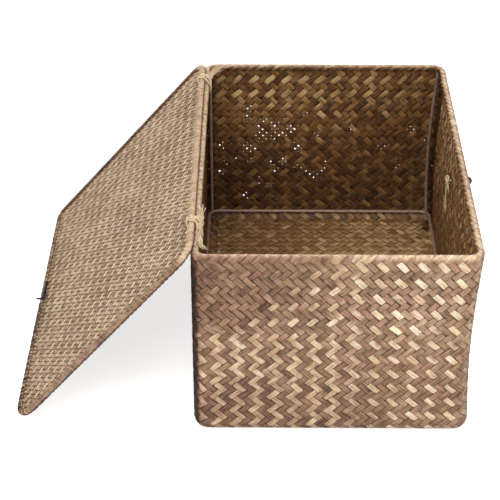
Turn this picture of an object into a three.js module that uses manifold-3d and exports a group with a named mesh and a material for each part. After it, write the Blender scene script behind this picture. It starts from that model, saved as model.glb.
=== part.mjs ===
// A rectangular storage basket plaited from seagrass strips over a wire frame, with a hinged lid.
// Millimetres. X runs across the basket from the hinge side to the toggle side, Y from the front
// to the rear, Z up. The origin is the centre of the underside. The lid stands open: it leans on
// the floor beside the basket, with its inner face up.
import * as THREE from "three";
import { mergeVertices } from "three/addons/utils/BufferGeometryUtils.js";
import Module from "manifold-3d";

const wasm = await Module();
wasm.setup();

// Basket body, measured over the rim.
const basketWidth = 266;
const basketDepth = 400;
const basketHeight = 200;
const skinThickness = 2;
const rimCornerRadius = 15;
const bottomEdgeRadius = 12;
// How far the hem is tucked under the top ring, in degrees past the inner side.
const hemTuck = 36;
// How far the hand-plaited walls draw in at the floor, and half way up.
const leanRight = 2.5;
const waistRight = 4.5;

// Wire frame.
const frameWire = 3.6;
const bottomRingHeight = 12;

// Lid.
const lidOverhang = 1;
const lidWire = 3;
const matThickness = 3;
const bindingThickness = 1.4;
const bindingWidth = 12;
const bindingLip = 0.85;
// The panel's fine plait: its strips' width, how many strips lie between two of the lines that
// stand out, and how deep those lines are.
const matStrip = 4.8;
const matLineStrips = 2;
const matLineDepth = 0.6;
const lidHingeCornerRadius = 20;
const lidFrontCornerRadius = 32;
const lidRearCornerRadius = 10;

// Hinge ties: fibre cord wound round the rim and the lid's edge.
const tieCord = 2.2;
const tieTurns = 2;
const tieTurnGap = 0.5;
const tieFromEnd = 52;
const tieKnot = 6.4;
const tieKnotFlat = 0.7;
const tieKnotBroad = 1.1;
// How far the knot lies on the basket's side of the hinge's axis.
const tieKnotShift = 1;
const tieTailCord = 1.8;
const tieTailDrop = 14;

// Toggle on the right wall and the cord that holds it.
const toggleReach = 35;
const toggleHeight = 145;
const toggleFlange = 9;
const toggleFlangeLength = 2.3;
const toggleNeck = 5;
const toggleNeckStart = 3.9;
const toggleNeckEnd = 8.7;
const toggleHead = 8.8;
const toggleShoulder = 3;
const toggleBevel = 0.6;
const toggleLength = 19.3;
const toggleBoreDepth = 11;
const toggleCord = 2;
const toggleKnot = 6.6;
const toggleTailCord = 1.8;
const toggleTailLength = 31;
// How far the hanging end swings from the plumb line, away from the wall and along it.
const toggleTailOut = 0.6;
const toggleTailAlong = 1.2;
// How far the knot's short end reaches along the wall, and how far it drops.
const toggleEndReach = 8.9;
const toggleEndDrop = 5.3;

// Closure: black cord stapled through the lid's free edge, and its loop.
const closureCord = 2.4;
const closureReach = 33;
const closureSpread = 20;
const closureInset = 4.7;
// How far round the edge's roll the cord's bar lies, in degrees below the lid's plane.
const closureWrap = 55;
const closureKnot = 4;
const closureKnotLong = 1.2;
const closureTailCord = 1.7;
const closureTailLength = 5.4;
const loopLength = 62;
const loopEndWidth = 17;
const loopRise = 0.15;
// Shares of the loop's length: where it has settled on the floor, and where it starts to narrow.
const loopSettled = 0.25;
const loopNarrowing = 0.1;

// Clearances: seated pieces, pieces that turn in one another, cut holes round a cord.
const seat = 0.3;
const runningGap = 0.3;
const holeGap = 0.4;

// Smoothness: steps round a corner, round the hem, the lid's edge and the bottom edge, and up a
// wall, then sides of a wire, a cord and a short cord end.
const cornerSteps = 6;
const hemSteps = 10;
const rollSteps = 8;
const edgeSteps = 5;
const wallSteps = 6;
const wireSides = 10;
const cordSides = 8;
const endSides = 6;
// Steps along a tie's turn, a short cord end, the hanging end, the edge's cord and the loop.
const turnSteps = 24;
const endSteps = 6;
const tailSteps = 14;
const stapleSteps = 40;
const settleSteps = 5;
const runSteps = 3;
const bightSteps = 6;
const loopSteps = 56;
// Sides and rings of a knot and of the toggle.
const knotSides = 10;
const knotRings = 7;
const toggleSides = 18;
const domeSteps = 5;

// Sizes that follow from the ones above.
const tieReach = basketDepth / 2 - tieFromEnd;
const rimRoll = skinThickness + seat + frameWire / 2;
const rimRollHeight = basketHeight - rimRoll;
const lidRoll = bindingThickness + seat + lidWire / 2;
const hingeX = -basketWidth / 2;
const hingeZ = basketHeight + seat + lidRoll;
const lidReach = basketWidth + lidOverhang - lidRoll;
const lidHalfDepth = basketDepth / 2 + lidOverhang;
// The lid hangs open until its free edge touches the floor.
const lidDroop = Math.asin((hingeZ - lidRoll) / lidReach);
const lidOpenTurn = Math.PI + lidDroop;

const straw = new THREE.Color(0xc9a57f);
const materials = {
  skin: { color: straw, roughness: 0.85, metalness: 0 },
  wire: { color: 0x3a2418, roughness: 0.45, metalness: 0.3 },
  mat: { color: 0xc4a484, roughness: 0.85, metalness: 0 },
  binding: { color: 0x9a7658, roughness: 0.85, metalness: 0 },
  fibre: { color: 0xe2cba4, roughness: 0.9, metalness: 0 },
  toggle: { color: 0x2b2320, roughness: 0.35, metalness: 0 },
  black: { color: 0x141210, roughness: 0.6, metalness: 0 },
};

// One named mesh with its own material.
function piece(name, geometry, finish) {
  const mesh = new THREE.Mesh(geometry, new THREE.MeshStandardMaterial(materials[finish]));
  mesh.name = name;
  return mesh;
}

// A closed geometry as a solid that can be joined or cut.
function solid(geometry) {
  const bare = geometry.clone();
  bare.deleteAttribute("normal");
  bare.deleteAttribute("uv");
  const merged = mergeVertices(bare, 1e-4);
  return new wasm.Manifold(
    new wasm.Mesh({
      numProp: 3,
      vertProperties: new Float32Array(merged.attributes.position.array),
      triVerts: new Uint32Array(merged.index.array),
    }),
  );
}

// The geometry of a solid that was joined or cut.
function geometryOf(made) {
  const mesh = made.getMesh();
  const geometry = new THREE.BufferGeometry();
  geometry.setAttribute("position", new THREE.BufferAttribute(mesh.vertProperties, 3));
  geometry.setIndex(new THREE.BufferAttribute(mesh.triVerts, 1));
  geometry.computeVertexNormals();
  return geometry;
}

function joined(geometries) {
  return geometries.map(solid).reduce((all, next) => all.add(next));
}

// A rounded rectangle seen from above, anticlockwise from the front right corner. radii goes
// front right, rear right, rear left, front left.
function roundedOutline(left, right, front, rear, radii) {
  const corners = [
    [right, front, -1, 1, -Math.PI / 2],
    [right, rear, -1, -1, 0],
    [left, rear, 1, -1, Math.PI / 2],
    [left, front, 1, 1, Math.PI],
  ];
  return corners.flatMap(([x, y, inX, inY, start], i) =>
    Array.from({ length: cornerSteps + 1 }, (_, k) => {
      const angle = start + (Math.PI / 2) * (k / cornerSteps);
      return new THREE.Vector2(
        x + radii[i] * (inX + Math.cos(angle)),
        y + radii[i] * (inY + Math.sin(angle)),
      );
    }),
  );
}

// A surface through rings of points, each ring one step along the profile. A closed profile
// meets its own start, and an open one gets a flat cap at each end.
function loft(rings, closedProfile) {
  const count = rings[0].length;
  const points = rings.flat();
  const faces = [];
  const at = (ring, k) => (ring % rings.length) * count + (k % count);
  const last = closedProfile ? rings.length : rings.length - 1;
  for (let ring = 0; ring < last; ring++) {
    for (let k = 0; k < count; k++) {
      faces.push(at(ring, k), at(ring, k + 1), at(ring + 1, k + 1));
      faces.push(at(ring, k), at(ring + 1, k + 1), at(ring + 1, k));
    }
  }
  if (!closedProfile) {
    const centre = (ring) =>
      ring.reduce((sum, p) => sum.add(p), new THREE.Vector3()).divideScalar(count);
    points.push(centre(rings[0]), centre(rings[rings.length - 1]));
    const bottom = points.length - 2;
    for (let k = 0; k < count; k++) {
      faces.push(bottom, at(0, k + 1), at(0, k));
      faces.push(bottom + 1, at(rings.length - 1, k), at(rings.length - 1, k + 1));
    }
  }
  const geometry = new THREE.BufferGeometry().setFromPoints(points);
  geometry.setIndex(faces);
  geometry.computeVertexNormals();
  return geometry;
}

// Points of an arc in a profile, where x is the inset from the outer face and y the height.
function profileArc(inset, height, radius, from, to, steps) {
  return Array.from({ length: steps + 1 }, (_, k) => {
    const angle = THREE.MathUtils.degToRad(from + (to - from) * (k / steps));
    return new THREE.Vector2(inset - radius * Math.cos(angle), height + radius * Math.sin(angle));
  });
}

// A tube of round section along a smooth curve, with flat ends.
function tube(curve, diameter, steps, sides = cordSides) {
  const section = new THREE.Shape();
  for (let k = 0; k < sides; k++) {
    const angle = (2 * Math.PI * k) / sides;
    const x = (diameter / 2) * Math.cos(angle);
    const y = (diameter / 2) * Math.sin(angle);
    if (k === 0) section.moveTo(x, y);
    else section.lineTo(x, y);
  }
  section.closePath();
  return new THREE.ExtrudeGeometry(section, { steps, extrudePath: curve, bevelEnabled: false });
}

function smoothCurve(points) {
  return new THREE.CatmullRomCurve3(points, false, "centripetal");
}

// How far the right wall has drawn in at a height above the floor. The rim stays straight.
function wallInset(height) {
  const up = Math.min(height / rimRollHeight, 1);
  return leanRight * (1 - up) + waistRight * Math.sin(Math.PI * up);
}

// The basket's plan at a height, moved in from its outer face.
function basketRing(inset, height) {
  return roundedOutline(
    -basketWidth / 2 + inset,
    basketWidth / 2 - wallInset(height) - inset,
    -basketDepth / 2 + inset,
    basketDepth / 2 - inset,
    Array(4).fill(Math.max(rimCornerRadius - inset, 1)),
  ).map((p) => new THREE.Vector3(p.x, p.y, height));
}

// The plaited skin: up the outside, over and partly under the top ring as a rolled hem, and down
// the inside to the floor. The hem stays open underneath, where the posts rise into it.
function basketShell() {
  const wallTop = rimRollHeight;
  const wallBottom = bottomEdgeRadius;
  const wallHeights = Array.from(
    { length: wallSteps - 1 },
    (_, k) => wallBottom + ((wallTop - wallBottom) * (k + 1)) / wallSteps,
  );
  const profile = [
    ...profileArc(bottomEdgeRadius, bottomEdgeRadius, bottomEdgeRadius, -90, 0, edgeSteps),
    ...wallHeights.map((height) => new THREE.Vector2(0, height)),
    ...profileArc(rimRoll, rimRollHeight, rimRoll, 0, 180 + hemTuck, hemSteps),
    ...profileArc(rimRoll, rimRollHeight, rimRoll - skinThickness, 180 + hemTuck, 0, hemSteps),
    ...wallHeights.reverse().map((height) => new THREE.Vector2(skinThickness, height)),
    ...profileArc(
      bottomEdgeRadius,
      bottomEdgeRadius,
      bottomEdgeRadius - skinThickness,
      0,
      -90,
      edgeSteps,
    ),
  ];
  return loft(
    profile.map((p) => basketRing(p.x, p.y)),
    false,
  );
}

// A wire ring that lies against the inside of the skin at one height.
function wireRing(height) {
  const profile = profileArc(rimRoll, height, frameWire / 2, -90, 270, wireSides).slice(0, -1);
  return loft(
    profile.map((p) => basketRing(p.x, height).map((q) => q.setZ(p.y))),
    true,
  );
}

// The middle of a corner, on the line of the frame's wires.
function frameCorner(sideX, sideY, height) {
  const radius = rimCornerRadius - rimRoll;
  const right = basketWidth / 2 - wallInset(height);
  const x = sideX > 0 ? right : -basketWidth / 2;
  const back = rimCornerRadius - radius * Math.SQRT1_2;
  return new THREE.Vector3(x - sideX * back, sideY * (basketDepth / 2 - back), height);
}

// An upright wire in a corner. It stands on the bottom ring, follows the wall and ends under the
// top ring.
function framePost(sideX, sideY) {
  const low = bottomRingHeight + frameWire / 2 + seat;
  const high = rimRollHeight - frameWire / 2 - seat;
  const points = Array.from({ length: wallSteps + 1 }, (_, k) =>
    frameCorner(sideX, sideY, low + ((high - low) * k) / wallSteps),
  );
  return tube(smoothCurve(points), frameWire, wallSteps, wireSides);
}

// The way round two rolls that a cord is wound on, as a point for a turn count. Both rolls run
// along Y; the belt leaves the lid's roll on the outer side.
function beltPoint(turn, along) {
  const lidRadius = lidRoll + runningGap + tieCord / 2;
  const rimRadius = rimRoll + seat + tieCord / 2;
  const lidCentre = new THREE.Vector2(hingeX, hingeZ);
  const rimCentre = new THREE.Vector2(hingeX + rimRoll, rimRollHeight);
  const apart = rimCentre.clone().sub(lidCentre);
  const base = apart.angle();
  const slant = Math.asin((rimRadius - lidRadius) / apart.length());
  const leg = Math.sqrt(apart.lengthSq() - (rimRadius - lidRadius) ** 2);
  const lidSweep = Math.PI - 2 * slant;
  const rimSweep = Math.PI + 2 * slant;
  const lengths = [(lidRadius * lidSweep) / 2, leg, rimRadius * rimSweep, leg];
  lengths.push((lidRadius * lidSweep) / 2);
  const round = lengths.reduce((sum, length) => sum + length);
  const onRoll = (centre, radius, angle) =>
    new THREE.Vector3(
      centre.x + radius * Math.cos(angle),
      along,
      centre.y + radius * Math.sin(angle),
    );
  // Angles turn clockwise from the top of the lid's roll, over the basket side first.
  const top = base + Math.PI;
  const firstSide = base + Math.PI / 2 + slant;
  const lastSide = base - Math.PI / 2 - slant;
  let way = (turn - Math.floor(turn)) * round;
  if (way < lengths[0]) return onRoll(lidCentre, lidRadius, top - way / lidRadius);
  way -= lengths[0];
  if (way < lengths[1]) {
    return onRoll(lidCentre, lidRadius, firstSide).lerp(
      onRoll(rimCentre, rimRadius, firstSide),
      way / leg,
    );
  }
  way -= lengths[1];
  if (way < lengths[2]) return onRoll(rimCentre, rimRadius, firstSide - way / rimRadius);
  way -= lengths[2];
  if (way < lengths[3]) {
    return onRoll(rimCentre, rimRadius, lastSide).lerp(
      onRoll(lidCentre, lidRadius, lastSide),
      way / leg,
    );
  }
  way -= lengths[3];
  return onRoll(lidCentre, lidRadius, lastSide - way / lidRadius);
}

// The winding of one tie: it spirals along the rolls, a cord and a gap for each turn.
function tieWinding(along) {
  const pitch = tieCord + tieTurnGap;
  const count = tieTurns * turnSteps;
  const points = Array.from({ length: count + 1 }, (_, k) => {
    const turn = k / turnSteps;
    return beltPoint(turn, along + (turn - tieTurns / 2) * pitch);
  });
  return points;
}

// The least gap between one turn of a winding and the next.
function leastGap(points, diameter) {
  let least = Infinity;
  for (let a = 0; a < points.length; a++) {
    for (let b = a + Math.round(turnSteps / 2); b < points.length; b++) {
      least = Math.min(least, points[a].distanceTo(points[b]));
    }
  }
  return least - diameter;
}

function knot(centre, size, stretch = new THREE.Vector3(1, 1, 1)) {
  const geometry = new THREE.SphereGeometry(size / 2, knotSides, knotRings);
  geometry.scale(stretch.x, stretch.y, stretch.z);
  geometry.translate(centre.x, centre.y, centre.z);
  return geometry;
}

// A hinge tie: its winding, the knot on top of the lid's roll and two tails inside the rim.
function hingeTie(along) {
  const winding = tieWinding(along);
  console.log(`tie winding, least gap ${leastGap(winding, tieCord).toFixed(2)} mm`);
  const thick = tieKnot * tieKnotFlat;
  const rise = lidRoll + runningGap + thick / 2;
  const top = new THREE.Vector3(hingeX + tieKnotShift, along, hingeZ + rise);
  const beside = hingeX + 2 * rimRoll + seat + tieTailCord / 2;
  const tails = [-1, 1].map((side) => {
    const spread = side * (tieKnot / 2 - tieTailCord / 2);
    const points = [
      top.clone(),
      new THREE.Vector3((top.x + beside) / 2, along + spread / 2, top.z),
      new THREE.Vector3(beside, along + spread, top.z - tieTailDrop / 2),
      new THREE.Vector3(beside, along + spread, top.z - tieTailDrop),
    ];
    return tube(smoothCurve(points), tieTailCord, endSteps, endSides);
  });
  const wound = tube(smoothCurve(winding), tieCord, winding.length - 1);
  const tied = knot(top, tieKnot, new THREE.Vector3(tieKnotBroad, tieKnotBroad, tieKnotFlat));
  return geometryOf(joined([wound, tied, ...tails]));
}

// The hole in the wall through which a tie passes under the top ring.
function tieHole(along) {
  const outer = rimRoll + seat + tieCord + holeGap;
  const upper = Math.sqrt((rimRoll + seat) ** 2 - rimRoll ** 2) - holeGap;
  const width = tieTurns * tieCord + (tieTurns - 1) * tieTurnGap + tieCord + 2 * holeGap;
  const cut = new THREE.BoxGeometry(3 * skinThickness, width, outer - upper);
  cut.translate(hingeX + skinThickness / 2, along, rimRollHeight - (outer + upper) / 2);
  return cut;
}

const wallMiddle = basketWidth / 2 - wallInset(toggleHeight);

// The hole in the right wall for the toggle's cord.
function toggleHole() {
  const cut = new THREE.CylinderGeometry(
    toggleCord / 2 + holeGap,
    toggleCord / 2 + holeGap,
    6 * skinThickness,
    cordSides,
  );
  cut.rotateZ(Math.PI / 2);
  cut.translate(wallMiddle, toggleReach, toggleHeight);
  return cut;
}

// The turned button, a peg with a flange, a neck for the loop and a domed head. It lies along X
// with its flange at the wall, and its blind bore takes the cord.
const toggleBase = wallMiddle + 2 * seat;
function toggleButton() {
  const bore = toggleCord / 2 + seat;
  const flange = toggleFlange / 2;
  const neck = toggleNeck / 2;
  const head = toggleHead / 2;
  const domeStart = toggleLength - head;
  const profile = [
    new THREE.Vector2(0, toggleBoreDepth),
    new THREE.Vector2(bore, toggleBoreDepth),
    new THREE.Vector2(bore, 0),
    new THREE.Vector2(flange - toggleBevel, 0),
    new THREE.Vector2(flange, toggleBevel),
    new THREE.Vector2(flange, toggleFlangeLength),
    new THREE.Vector2(neck, toggleNeckStart),
    new THREE.Vector2(neck, toggleNeckEnd),
    new THREE.Vector2(head - toggleBevel, toggleNeckEnd + toggleShoulder / 2),
    new THREE.Vector2(head, toggleNeckEnd + toggleShoulder),
    new THREE.Vector2(head, domeStart),
    ...Array.from({ length: domeSteps }, (_, k) => {
      const angle = (Math.PI / 2) * ((k + 1) / domeSteps);
      const radius = k === domeSteps - 1 ? 0 : head * Math.cos(angle);
      return new THREE.Vector2(radius, domeStart + head * Math.sin(angle));
    }),
  ];
  const geometry = new THREE.LatheGeometry(profile, toggleSides);
  geometry.rotateZ(-Math.PI / 2);
  geometry.translate(toggleBase, toggleReach, toggleHeight);
  return geometry;
}

const wallInside = wallMiddle - skinThickness;
const knotCentreX = wallInside - seat - toggleKnot / 2;

// The cord that holds the button: a knot inside the wall, a stem into the bore and a short end.
function toggleCordAndKnot() {
  const centre = new THREE.Vector3(knotCentreX, toggleReach, toggleHeight);
  const stemEnd = toggleBase + toggleBoreDepth - seat;
  const stem = new THREE.CylinderGeometry(
    toggleCord / 2,
    toggleCord / 2,
    stemEnd - knotCentreX,
    cordSides,
  );
  stem.rotateZ(Math.PI / 2);
  stem.translate((stemEnd + knotCentreX) / 2, toggleReach, toggleHeight);
  const shortEnd = smoothCurve([
    centre.clone(),
    centre.clone().add(new THREE.Vector3(0, -toggleEndReach / 2, -toggleEndDrop / 3)),
    centre.clone().add(new THREE.Vector3(0, -toggleEndReach, -toggleEndDrop)),
  ]);
  const end = tube(shortEnd, toggleTailCord, endSteps, endSides);
  return geometryOf(joined([knot(centre, toggleKnot), stem, end]));
}

// The long end of the toggle's cord. It hangs from under the knot, beside the wall.
function toggleTail() {
  const start = new THREE.Vector3(
    knotCentreX,
    toggleReach,
    toggleHeight - toggleKnot / 2 - seat,
  );
  const points = Array.from({ length: tailSteps + 1 }, (_, k) => {
    const down = (toggleTailLength * k) / tailSteps;
    const swing = Math.sin((Math.PI * k) / tailSteps);
    const aside = new THREE.Vector3(-toggleTailOut * swing, toggleTailAlong * swing, -down);
    return start.clone().add(aside);
  });
  return tube(smoothCurve(points), toggleTailCord, tailSteps);
}

// The lid's own frame: X from the hinge's axis to the free edge, Z towards the outer face. The
// lid's plan there, moved in from its outer edge.
function lidRing(inset, height) {
  const corner = (radius) => Math.max(radius - inset, 1);
  return roundedOutline(
    -lidRoll + inset,
    lidReach + lidRoll - inset,
    -lidHalfDepth + inset,
    lidHalfDepth - inset,
    [
      corner(lidFrontCornerRadius),
      corner(lidRearCornerRadius),
      corner(lidHingeCornerRadius),
      corner(lidHingeCornerRadius),
    ],
  ).map((p) => new THREE.Vector3(p.x, p.y, height));
}

// The slot in the lid's hinge edge that a tie turns in.
function tieSlot(along) {
  const start = lidWire / 3;
  const reach = 2 * rimRoll + seat + tieTailCord + holeGap;
  const width = tieKnot * tieKnotBroad + 2 * holeGap;
  const slot = new THREE.BoxGeometry(reach - start, width, 4 * lidRoll);
  slot.translate((reach + start) / 2, along, 0);
  return slot;
}

const stapleEnds = [-1, 1].map((side) => closureReach + (side * closureSpread) / 2);
const stapleX = lidReach - closureInset;

// The holes near the free edge that the black cord passes through.
function stapleHoles() {
  return stapleEnds.map((along) => {
    const hole = new THREE.CylinderGeometry(
      closureCord / 2 + holeGap,
      closureCord / 2 + holeGap,
      4 * lidRoll,
      cordSides,
    );
    hole.rotateX(Math.PI / 2);
    hole.translate(stapleX, along, 0);
    return hole;
  });
}

function lidCuts() {
  return joined([tieSlot(-tieReach), tieSlot(tieReach), ...stapleHoles()]);
}

// The lines that stand out in the panel's plait: on both faces, from the hinge's rear end to the
// free edge's front end, each one a square bar on its edge that cuts a valley.
function matLines() {
  const pitch = matLineStrips * matStrip;
  const acrossLid = (lidReach / 2 + lidHalfDepth - lidFrontCornerRadius) * Math.SQRT1_2;
  const count = Math.floor(acrossLid / pitch);
  const side = matLineDepth * Math.SQRT2;
  const lines = [];
  for (let k = -count; k <= count; k++) {
    for (const face of [-1, 1]) {
      const bar = new THREE.BoxGeometry(lidReach + 2 * lidHalfDepth, side, side);
      bar.rotateX(Math.PI / 4);
      bar.rotateZ(-Math.PI / 4);
      const aside = k * pitch * Math.SQRT1_2;
      bar.translate(lidReach / 2 + aside, aside, (face * matThickness) / 2);
      lines.push(bar);
    }
  }
  return joined(lines);
}

// The plaited panel. Its edge stops at the wire, inside the binding.
function lidMat() {
  const inset = lidRoll + lidWire / 2 + seat;
  const soft = matThickness / 4;
  const profile = [
    new THREE.Vector2(inset + soft, -matThickness / 2),
    new THREE.Vector2(inset, -matThickness / 2 + soft),
    new THREE.Vector2(inset, matThickness / 2 - soft),
    new THREE.Vector2(inset + soft, matThickness / 2),
  ];
  const panel = loft(
    profile.map((p) => lidRing(p.x, p.y)),
    false,
  );
  return geometryOf(solid(panel).subtract(lidCuts()).subtract(matLines()));
}

// The wire round the panel.
function lidFrameRing() {
  const profile = profileArc(lidRoll, 0, lidWire / 2, -90, 270, cordSides).slice(0, -1);
  return loft(
    profile.map((p) => lidRing(p.x, p.y)),
    true,
  );
}

// The binding: folded round the wire, its two lips lying on the panel's faces.
function lidBinding() {
  const inner = matThickness / 2 + seat;
  const lipEnd = bindingWidth;
  const lipTip = inner + bindingLip;
  const profile = [
    new THREE.Vector2(lipEnd, -lipTip),
    ...profileArc(lidRoll, 0, lidRoll, -90, 90, rollSteps),
    new THREE.Vector2(lipEnd, lipTip),
    new THREE.Vector2(lipEnd, inner),
    ...profileArc(lidRoll, 0, inner, 90, -90, rollSteps - 2),
    new THREE.Vector2(lipEnd, -inner),
  ];
  const band = loft(
    profile.map((p) => lidRing(p.x, p.y)),
    true,
  );
  return geometryOf(solid(band).subtract(lidCuts()));
}

// The black cord through the free edge: down one hole, round the edge's roll, along it and back
// up the other hole, with a knot and a cut end at the front.
function closureStaple() {
  const [front, rear] = stapleEnds;
  const round = lidRoll + seat + closureCord / 2;
  const wrap = THREE.MathUtils.degToRad(closureWrap);
  const bend = closureCord;
  // A point beside the edge's roll, at an angle below the lid's plane.
  const beside = (reach, angle, along) =>
    new THREE.Vector3(lidReach + reach * Math.cos(angle), along, -reach * Math.sin(angle));
  const leg = (along, inward) => [
    new THREE.Vector3(stapleX, along, lidRoll),
    new THREE.Vector3(stapleX, along, -lidRoll / 2),
    new THREE.Vector3(stapleX, along, bend / 2 - round),
    new THREE.Vector3(stapleX + bend / 2, along + (inward * bend) / 4, -round),
    beside(round, Math.PI / 2, along + (inward * bend) / 2),
    beside(round, (Math.PI / 2 + wrap) / 2, along + inward * bend),
    beside(round, wrap, along + inward * 2 * bend),
  ];
  const points = [...leg(front, 1), ...leg(rear, -1).reverse()];
  const knotCentre = beside(lidRoll + seat + closureKnot / 2, wrap, front + bend);
  // The cut end points level, away from the basket, when the lid leans on the floor.
  const level = new THREE.Vector3(Math.cos(lidDroop), 0, -Math.sin(lidDroop));
  const tail = smoothCurve([
    knotCentre.clone(),
    knotCentre.clone().addScaledVector(level, closureTailLength / 2),
    knotCentre.clone().addScaledVector(level, closureTailLength),
  ]);
  const all = joined([
    tube(smoothCurve(points), closureCord, stapleSteps),
    knot(knotCentre, closureKnot, new THREE.Vector3(1, closureKnotLong, 1)),
    tube(tail, closureTailCord, endSteps, endSides),
  ]);
  return geometryOf(all);
}

// The loop's pivot, on the lid's outer face over the two holes.
const loopPivot = new THREE.Vector3(stapleX, 0, lidRoll + runningGap + closureCord / 2);

// A point of the lid in the basket's frame, with the lid open.
function fromLid(point) {
  return point
    .clone()
    .applyAxisAngle(new THREE.Vector3(0, 1, 0), -lidOpenTurn)
    .add(new THREE.Vector3(hingeX, 0, hingeZ));
}

// The loop: from its pivot over one hole along the floor under the lid, round its end and back
// to the other hole.
function closureLoop() {
  const pivot = fromLid(loopPivot);
  const [front, rear] = stapleEnds;
  const onFloor = closureCord / 2 + loopRise;
  const endRadius = loopEndWidth / 2;
  const straightEnd = loopLength - endRadius;
  // Each side settles from the pivot to the floor and narrows on the way.
  const falling = Array.from({ length: settleSteps }, (_, k) => (loopSettled * k) / settleSteps);
  const lying = Array.from(
    { length: runSteps + 1 },
    (_, k) => loopSettled + ((1 - loopSettled) * k) / runSteps,
  );
  const side = (along, middle) =>
    [...falling, ...lying].map((part) => {
      const settled = THREE.MathUtils.smoothstep(part, 0, loopSettled);
      const narrowed = THREE.MathUtils.smoothstep(part, loopNarrowing, 1);
      return new THREE.Vector3(
        pivot.x + straightEnd * part,
        THREE.MathUtils.lerp(along, middle, narrowed),
        THREE.MathUtils.lerp(pivot.z, onFloor, settled),
      );
    });
  const bight = Array.from({ length: bightSteps - 1 }, (_, k) => {
    const angle = -Math.PI / 2 + (Math.PI * (k + 1)) / bightSteps;
    return new THREE.Vector3(
      pivot.x + straightEnd + endRadius * Math.cos(angle),
      closureReach + endRadius * Math.sin(angle),
      onFloor,
    );
  });
  const points = [
    ...side(front, closureReach - endRadius),
    ...bight,
    ...side(rear, closureReach + endRadius).reverse(),
  ];
  const ends = stapleEnds.map((along) =>
    knot(new THREE.Vector3(pivot.x, along, pivot.z), closureCord),
  );
  return geometryOf(joined([tube(smoothCurve(points), closureCord, loopSteps), ...ends]));
}

// The shell with its holes for the ties and the toggle's cord.
function cutShell() {
  const holes = joined([tieHole(-tieReach), tieHole(tieReach), toggleHole()]);
  return geometryOf(solid(basketShell()).subtract(holes));
}

const basket = new THREE.Group();
basket.add(
  piece("basket_shell", cutShell(), "skin"),
  piece("frame_top_ring", wireRing(rimRollHeight), "wire"),
  piece("frame_bottom_ring", wireRing(bottomRingHeight), "wire"),
  piece("frame_post_front_left", framePost(-1, -1), "wire"),
  piece("frame_post_front_right", framePost(1, -1), "wire"),
  piece("frame_post_rear_left", framePost(-1, 1), "wire"),
  piece("frame_post_rear_right", framePost(1, 1), "wire"),
  piece("hinge_tie_rear", hingeTie(tieReach), "fibre"),
  piece("hinge_tie_front", hingeTie(-tieReach), "fibre"),
  piece("toggle_cord", toggleCordAndKnot(), "fibre"),
  piece("toggle_cord_tail", toggleTail(), "fibre"),
  piece("toggle_button", toggleButton(), "toggle"),
  piece("closure_loop", closureLoop(), "black"),
);

const lid = new THREE.Group();
lid.add(
  piece("lid_mat", lidMat(), "mat"),
  piece("lid_frame_ring", lidFrameRing(), "wire"),
  piece("lid_edge_binding", lidBinding(), "binding"),
  piece("closure_staple", closureStaple(), "black"),
);
lid.position.set(hingeX, 0, hingeZ);
lid.rotation.y = -lidOpenTurn;
basket.add(lid);

const loopAt = fromLid(loopPivot);
console.log(`hinge axis x ${hingeX.toFixed(2)} z ${hingeZ.toFixed(2)} mm`);
console.log(`lid open turn ${THREE.MathUtils.radToDeg(lidOpenTurn).toFixed(2)} degrees`);
console.log(`loop pivot x ${loopAt.x.toFixed(2)} z ${loopAt.z.toFixed(2)} mm`);
console.log(`toggle axis y ${toggleReach} z ${toggleHeight}, base x ${toggleBase.toFixed(2)} mm`);

export default basket;
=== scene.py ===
"""Looks of the plaited storage basket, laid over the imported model.

Lengths are in millimetres until a mesh is made, in the model's own frame: X across the basket
from the hinge side to the toggle side, Y from the front to the rear, Z up.
"""

import math

import bpy
import numpy as np
from mathutils import Matrix, Vector


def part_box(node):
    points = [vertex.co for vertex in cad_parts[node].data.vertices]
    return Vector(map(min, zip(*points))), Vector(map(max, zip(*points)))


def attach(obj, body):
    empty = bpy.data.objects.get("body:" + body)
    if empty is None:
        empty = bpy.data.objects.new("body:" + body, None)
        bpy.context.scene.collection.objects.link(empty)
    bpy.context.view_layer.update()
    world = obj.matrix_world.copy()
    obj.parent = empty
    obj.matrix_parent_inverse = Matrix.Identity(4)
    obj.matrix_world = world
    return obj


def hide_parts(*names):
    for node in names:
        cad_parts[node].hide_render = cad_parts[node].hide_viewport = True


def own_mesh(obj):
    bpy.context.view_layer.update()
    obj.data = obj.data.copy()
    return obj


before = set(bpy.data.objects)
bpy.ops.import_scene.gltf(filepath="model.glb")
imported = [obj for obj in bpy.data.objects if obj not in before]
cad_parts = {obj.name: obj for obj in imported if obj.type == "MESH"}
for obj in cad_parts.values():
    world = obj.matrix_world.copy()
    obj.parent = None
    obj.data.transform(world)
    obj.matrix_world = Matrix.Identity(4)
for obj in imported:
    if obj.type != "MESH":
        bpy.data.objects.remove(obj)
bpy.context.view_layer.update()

random = np.random.default_rng(11)

# The basket's body, as in the model. The seat is the gap at which a piece lies on another.
low, high = (np.array(corner) * 1000 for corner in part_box("basket_shell"))
rim_corner = 15
bottom_radius = 12
roll_radius = 4.1
roll_height = high[2] - roll_radius
skin = 2
lean_right = 2.5
waist_right = 4.5
floor_high = 1
seat = 0.3

# The lid, in its own frame: X from the hinge to the free edge, Z to the outer face.
hinge_x = -133
hinge_z = 203.5
lid_turn = math.radians(229.4)
lid_roll = 3.2
lid_length = 263.8
lid_half_depth = 201
tie_reach = 148

# The black cord's two holes in the lid, and the toggle with the knot that holds it.
hole_line = 255.1
front_hole, rear_hole = 23, 43
toggle_y, toggle_z = 35, 145
knot_x = 123.47

# Strips of the walls. The strand is a strip's own number, which sets it apart in its finish.
wall_slope = math.radians(41)
wall_strip_count = 142
strand_range = 40


def placed(name, data):
    """A new object of that data, in the scene."""
    thing = bpy.data.objects.new(name, data)
    bpy.context.scene.collection.objects.link(thing)
    return thing


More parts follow.
